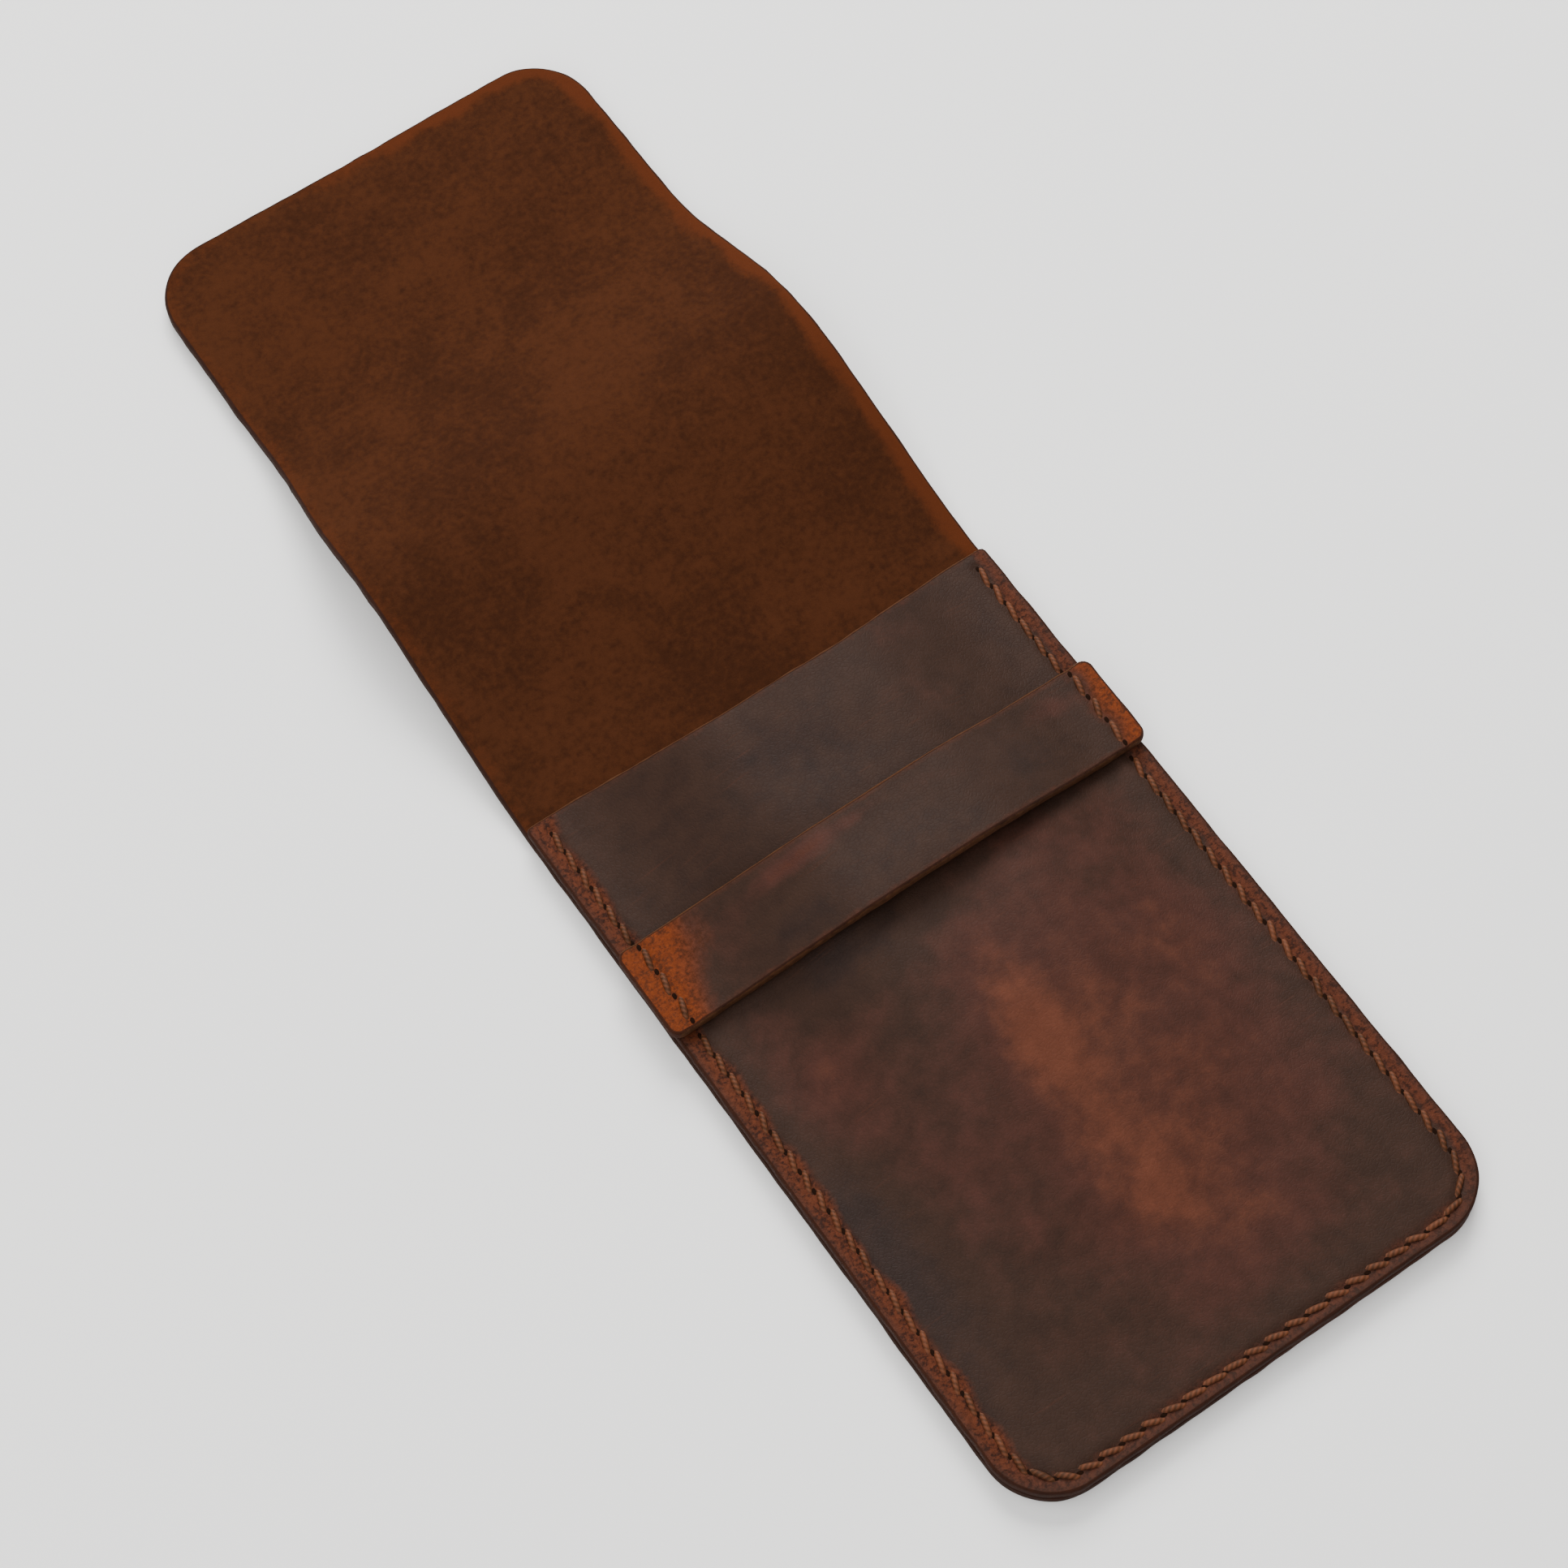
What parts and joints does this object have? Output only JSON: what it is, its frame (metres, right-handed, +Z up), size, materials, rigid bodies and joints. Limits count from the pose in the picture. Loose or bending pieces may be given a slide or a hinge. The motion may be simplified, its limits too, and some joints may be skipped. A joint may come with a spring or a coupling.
{
  "type": "leather pen case",
  "caption": "Flat leather case for pens, lying open on its back: a sewn pocket, a band across its front and a flap that folds over the mouth.",
  "frame": {"origin": "below the middle of the open case, on the surface it lies on", "axes": "+Y along the case towards the flap's end, +X across it, +Z up out of the front"},
  "size_m": [0.0814, 0.232, 0.0162],
  "materials": {
    "back_leather": "waxed, with worn edges",
    "front_leather": "waxed, with worn edges",
    "band_leather": "waxed, with worn edges",
    "flap_root_leather": "flesh side, matt",
    "flap_fold_1_leather": "flesh side, matt",
    "flap_fold_2_leather": "flesh side, matt",
    "flap_middle_leather": "flesh side, matt",
    "flap_tip_leather": "flesh side, matt",
    "seam_thread_front_fibre": "waxed thread",
    "seam_thread_back_fibre": "waxed thread"
  },
  "bodies": {
    "pocket": {"back_panel": "back_leather", "front_panel": "front_leather", "closure_band": "band_leather", "seam_thread_front": "seam_thread_front_fibre", "seam_thread_back": "seam_thread_back_fibre"},
    "flap_root": {"flap_root": "flap_root_leather"},
    "fold_strip_1": {"flap_fold_1": "flap_fold_1_leather"},
    "fold_strip_2": {"flap_fold_2": "flap_fold_2_leather"},
    "flap_middle": {"flap_middle": "flap_middle_leather"},
    "flap_tip": {"flap_tip": "flap_tip_leather"}
  },
  "joints": [
    {"name": "flap_root_hinge", "type": "hinge", "parent": "pocket", "child": "flap_root", "pos_m": [0, 0.01303, 0.0018], "axis": [1, 0, 0], "range_deg": [-14, 0]},
    {"name": "fold_hinge_1", "type": "hinge", "parent": "flap_root", "child": "fold_strip_1", "pos_m": [0, 0.04284, 0.00951], "axis": [1, 0, 0], "range_deg": [0, 70]},
    {"name": "fold_hinge_2", "type": "hinge", "parent": "fold_strip_1", "child": "fold_strip_2", "pos_m": [0, 0.04915, 0.00999], "axis": [1, 0, 0], "range_deg": [0, 70]},
    {"name": "fold_hinge_3", "type": "hinge", "parent": "fold_strip_2", "child": "flap_middle", "pos_m": [0, 0.05543, 0.00935], "axis": [1, 0, 0], "range_deg": [0, 70]},
    {"name": "flap_tip_hinge", "type": "hinge", "parent": "flap_middle", "child": "flap_tip", "pos_m": [0, 0.08071, 0.0021], "axis": [1, 0, 0], "range_deg": [-16, 0]}
  ],
  "couplings": [
    {"joint": "flap_root_hinge", "follows": "flap_tip_hinge", "ratio": 0.8749},
    {"joint": "fold_hinge_1", "follows": "flap_tip_hinge", "ratio": -4.3749},
    {"joint": "fold_hinge_2", "follows": "flap_tip_hinge", "ratio": -4.3749},
    {"joint": "fold_hinge_3", "follows": "flap_tip_hinge", "ratio": -4.3749}
  ]
}
